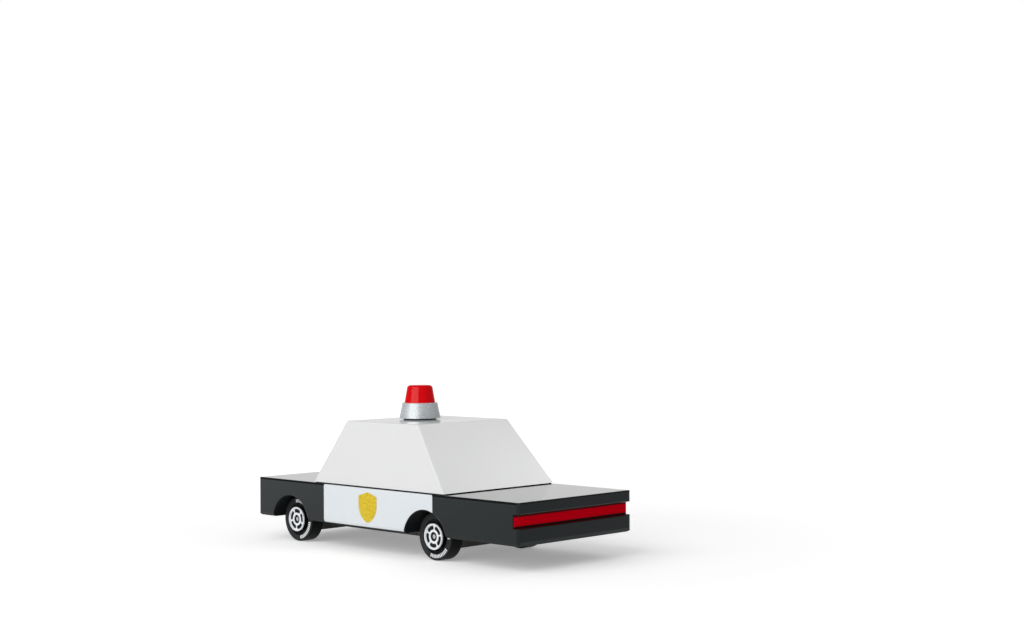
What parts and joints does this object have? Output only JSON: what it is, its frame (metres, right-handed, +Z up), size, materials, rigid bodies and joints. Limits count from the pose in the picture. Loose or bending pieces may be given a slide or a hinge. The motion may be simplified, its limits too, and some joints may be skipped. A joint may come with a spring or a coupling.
{
  "type": "toy police car",
  "caption": "Wooden toy police car: a long black block with a tapered white cabin, a red roof beacon, plain shields on the doors and rubber-tyred wheels that roll on steel axles.",
  "frame": {"origin": "on the floor, under the middle of the body block", "axes": "+X towards the nose, +Y to the car's left, +Z up"},
  "size_m": [0.0904, 0.0366, 0.0384],
  "materials": {
    "black_lacquer": "gloss black lacquer on a wooden block",
    "white_lacquer": "gloss white lacquer on a wooden block",
    "bare_wood": "bare",
    "black_foot": "matt",
    "silver": "silver coated, satin",
    "red_lamp": "gloss",
    "red_strip": "gloss",
    "lamp_white": "gloss",
    "white_film": "printed film, satin",
    "gold_film": "printed film, satin",
    "black_plastic": "satin",
    "steel": "bright drawn",
    "tyre": "satin rubber",
    "white_plastic": "gloss"
  },
  "bodies": {
    "car": {"body_block": "black_lacquer", "cabin": "white_lacquer", "cabin_dowels": "bare_wood", "beacon_foot": "black_foot", "beacon_base": "silver", "beacon_dome": "red_lamp", "tail_light_strip": "red_strip", "headlight_left": "lamp_white", "headlight_right": "lamp_white", "door_panel_left": "white_film", "door_panel_right": "white_film", "shield_left": "gold_film", "shield_right": "gold_film", "chassis": "black_plastic", "chassis_screws": "steel"},
    "front_wheelset": {"front_axle": "steel", "tyre_front_left": "tyre", "hub_front_left": "black_plastic", "cap_front_left": "white_plastic", "tyre_front_right": "tyre", "hub_front_right": "black_plastic", "cap_front_right": "white_plastic"},
    "rear_wheelset": {"rear_axle": "steel", "tyre_rear_left": "tyre", "hub_rear_left": "black_plastic", "cap_rear_left": "white_plastic", "tyre_rear_right": "tyre", "hub_rear_right": "black_plastic", "cap_rear_right": "white_plastic"}
  },
  "joints": [
    {"name": "front_axle_spin", "type": "hinge", "parent": "car", "child": "front_wheelset", "pos_m": [0.0334, 0, 0.0054], "axis": [0, 1, 0], "continuous": true},
    {"name": "rear_axle_spin", "type": "hinge", "parent": "car", "child": "rear_wheelset", "pos_m": [-0.016, 0, 0.0054], "axis": [0, 1, 0], "continuous": true}
  ]
}
